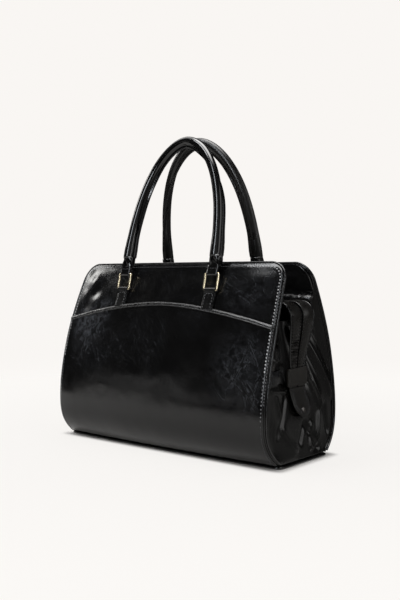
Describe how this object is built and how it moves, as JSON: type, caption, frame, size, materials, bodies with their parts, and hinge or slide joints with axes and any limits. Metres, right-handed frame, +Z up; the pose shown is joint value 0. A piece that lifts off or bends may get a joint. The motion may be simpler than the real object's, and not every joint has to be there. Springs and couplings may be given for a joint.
{
  "type": "tote bag",
  "caption": "Structured handbag tote with rolled arch handles on metal rings, arched front slip pocket, folded gussets and a recessed zip closure whose ends hang through side keepers.",
  "frame": {"origin": "on the surface the bag stands on, under the middle of the base", "axes": "+Z up towards the handles, +X to the right of the bag as seen from its front, -Y out of the front with the slip pocket"},
  "size_m": [0.4036, 0.1912, 0.459],
  "materials": {
    "black_leather": "glossy, finely creased, with light grey stitching",
    "matt_leather": "matt",
    "lining_cloth": "plain black weave",
    "zip_tape": "black woven tape with moulded teeth",
    "base_board": "hidden stiffener",
    "handle_cord": "hidden filler cord",
    "pale_gold": "polished, plated pale gold",
    "dark_metal": "dark plated"
  },
  "bodies": {
    "bag": {"back_edge_piping": "black_leather", "back_facing": "black_leather", "back_left_ring_loop": "black_leather", "back_panel": "black_leather", "back_right_ring_loop": "black_leather", "base_board": "base_board", "base_panel": "black_leather", "base_piping": "black_leather", "front_edge_piping": "black_leather", "front_facing": "black_leather", "front_left_ring_loop": "black_leather", "front_panel": "black_leather", "front_pocket_panel": "black_leather", "front_right_ring_loop": "black_leather", "left_gusset": "black_leather", "left_keeper_loop": "matt_leather", "left_keeper_strap": "black_leather", "left_tab_rivet": "dark_metal", "left_zip_end": "black_leather", "left_zip_end_tape": "zip_tape", "lining": "lining_cloth", "pocket_binding": "black_leather", "right_gusset": "black_leather", "right_keeper_loop": "matt_leather", "right_keeper_strap": "black_leather", "right_tab_rivet": "dark_metal", "right_zip_end": "black_leather", "right_zip_end_tape": "zip_tape"},
    "front_flap": {"front_zip_flange": "black_leather", "front_zip_tape": "zip_tape"},
    "back_flap": {"back_zip_flange": "black_leather", "back_zip_tape": "zip_tape"},
    "zip_slider": {"zip_slider": "dark_metal"},
    "zip_pull": {"zip_pull": "dark_metal"},
    "front_rings": {"front_left_ring": "pale_gold", "front_right_ring": "pale_gold"},
    "front_handle": {"front_handle_roll": "black_leather", "front_handle_core": "handle_cord", "front_left_handle_end": "black_leather", "front_right_handle_end": "black_leather"},
    "back_rings": {"back_left_ring": "pale_gold", "back_right_ring": "pale_gold"},
    "back_handle": {"back_handle_roll": "black_leather", "back_handle_core": "handle_cord", "back_left_handle_end": "black_leather", "back_right_handle_end": "black_leather"}
  },
  "joints": [
    {"name": "zip_slide", "type": "slide", "parent": "bag", "child": "zip_slider", "axis": [1, 0, 0], "range_m": [0, 0.32]},
    {"name": "pull_swing", "type": "hinge", "parent": "zip_slider", "child": "zip_pull", "pos_m": [-0.16, 0, 0.218], "axis": [0, 1, 0], "range_deg": [0, 180]},
    {"name": "front_flap_open", "type": "hinge", "parent": "bag", "child": "front_flap", "pos_m": [0, -0.05, 0.2158], "axis": [1, 0, 0], "range_deg": [0, 60]},
    {"name": "back_flap_open", "type": "hinge", "parent": "bag", "child": "back_flap", "pos_m": [0, 0.05, 0.2158], "axis": [-1, 0, 0], "range_deg": [0, 60]},
    {"name": "front_ring_swing", "type": "hinge", "parent": "bag", "child": "front_rings", "pos_m": [0, -0.05862, 0.232], "axis": [1, 0, 0], "range_deg": [0, 100]},
    {"name": "front_handle_swing", "type": "hinge", "parent": "front_rings", "child": "front_handle", "pos_m": [0, -0.05358, 0.25444], "axis": [1, 0, 0], "range_deg": [-1.4, 80]},
    {"name": "back_ring_swing", "type": "hinge", "parent": "bag", "child": "back_rings", "pos_m": [0, 0.05843, 0.232], "axis": [-1, 0, 0], "range_deg": [0, 100]},
    {"name": "back_handle_swing", "type": "hinge", "parent": "back_rings", "child": "back_handle", "pos_m": [0, 0.05409, 0.25459], "axis": [-1, 0, 0], "range_deg": [-1.4, 80]}
  ]
}
